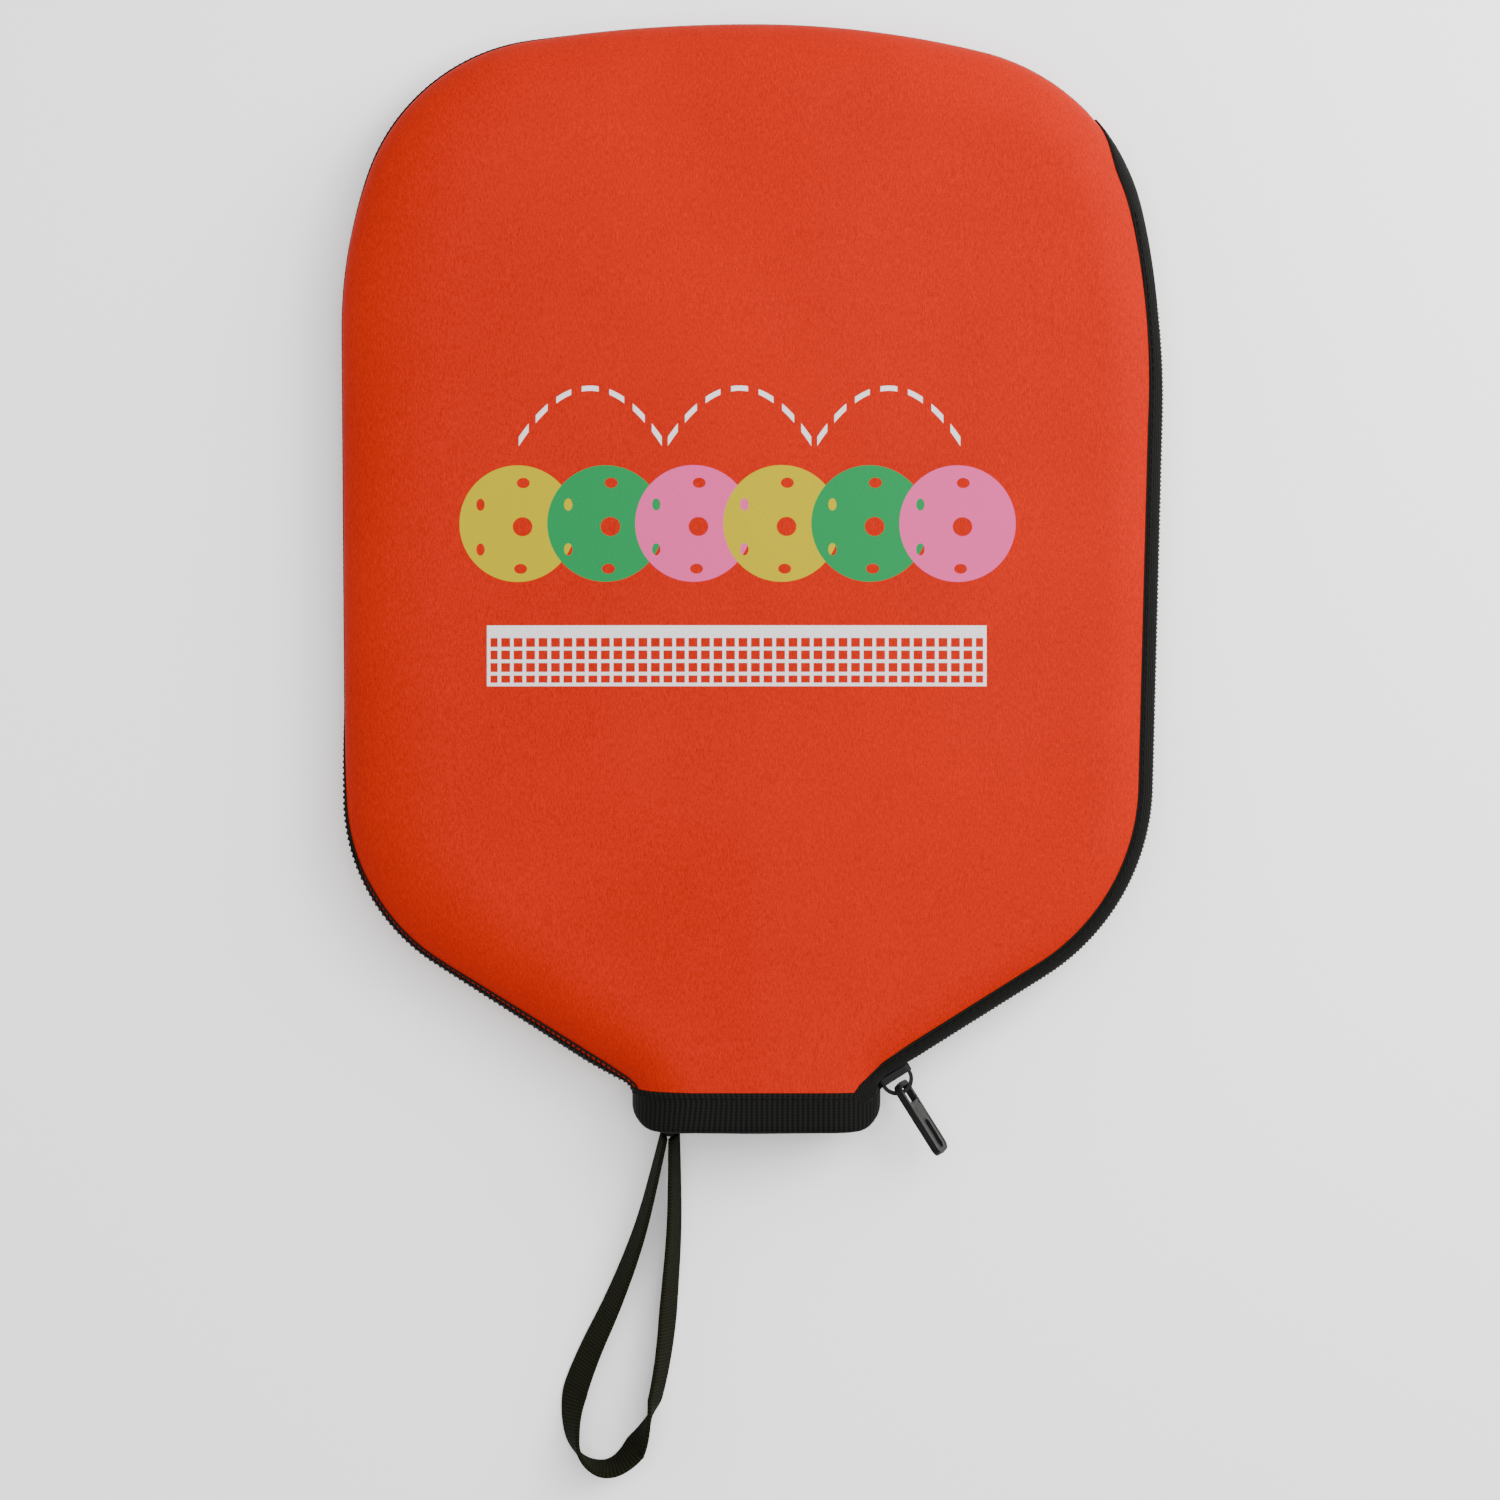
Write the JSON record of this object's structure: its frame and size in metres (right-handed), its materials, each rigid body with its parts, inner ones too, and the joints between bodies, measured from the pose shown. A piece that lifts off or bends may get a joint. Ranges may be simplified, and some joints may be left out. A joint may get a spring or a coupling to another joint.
{
  "type": "pickleball paddle cover",
  "caption": "Padded neoprene cover for a pickleball paddle, flat pocket with an open neck, side zip with pull tab and a webbing wrist strap.",
  "frame": {"origin": "centre of the footprint of the cover with its slider and pull tab, on the surface it lies on; the free wrist strap is not counted", "axes": "+Y from the mouth towards the closed top, +X towards the zip side, +Z out of the printed front"},
  "size_m": [0.2198, 0.3879, 0.0269],
  "materials": {
    "knit_face": "fine vertical knit bonded to foam, satin",
    "foam": "closed-cell sponge, matte",
    "lining": "smooth jersey, matte",
    "binding": "woven edge tape, matte",
    "zip_tape": "fine woven tape, matte",
    "zip_coil": "nylon coil, satin",
    "thread": "filament thread",
    "neck_band": "ribbed elastic tape, matte",
    "webbing": "cross-ribbed webbing, matte",
    "metal_black": "black enamel, satin",
    "metal_bright": "plain spring steel",
    "pull_rim": "black enamel, gloss",
    "pull_face": "dark grey satin"
  },
  "bodies": {
    "cover": {"front_panel_face": "knit_face", "front_panel_foam": "foam", "front_panel_lining": "lining", "back_panel_face": "knit_face", "back_panel_foam": "foam", "back_panel_lining": "lining", "front_zip_binding": "binding", "back_zip_binding": "binding", "front_zip_tape": "zip_tape", "back_zip_tape": "zip_tape", "front_zip_coil": "zip_coil", "back_zip_coil": "zip_coil", "front_binding_stitching": "thread", "back_binding_stitching": "thread", "front_neck_band": "neck_band", "back_neck_band": "neck_band", "front_neck_stitching": "thread", "back_neck_stitching": "thread", "edge_seam": "thread", "zip_top_stop": "metal_black", "zip_end_stop": "zip_tape", "strap_anchor": "webbing"},
    "slider": {"slider_body": "metal_black", "slider_crown": "metal_black", "slider_lock_spring": "metal_bright"},
    "pull_tab": {"pull_frame": "pull_rim", "pull_inlay_front": "pull_face", "pull_inlay_back": "pull_face"},
    "wrist_strap": {"wrist_strap": "webbing", "strap_root": "webbing"}
  },
  "joints": [
    {"name": "slider_travel", "type": "slide", "parent": "cover", "child": "slider", "axis": [0.8471, 0.5314, 0], "range_m": [0, 0.04]},
    {"name": "pull_swing", "type": "hinge", "parent": "slider", "child": "pull_tab", "pos_m": [0.03955, -0.1324, 0.013], "axis": [-0.2193, -0.1375, 0.9659], "range_deg": [-45, 80]},
    {"name": "strap_swing", "type": "hinge", "parent": "cover", "child": "wrist_strap", "pos_m": [-0.02205, -0.14398, 0.0098], "axis": [0, 0, 1], "range_deg": [-30, 45]}
  ]
}
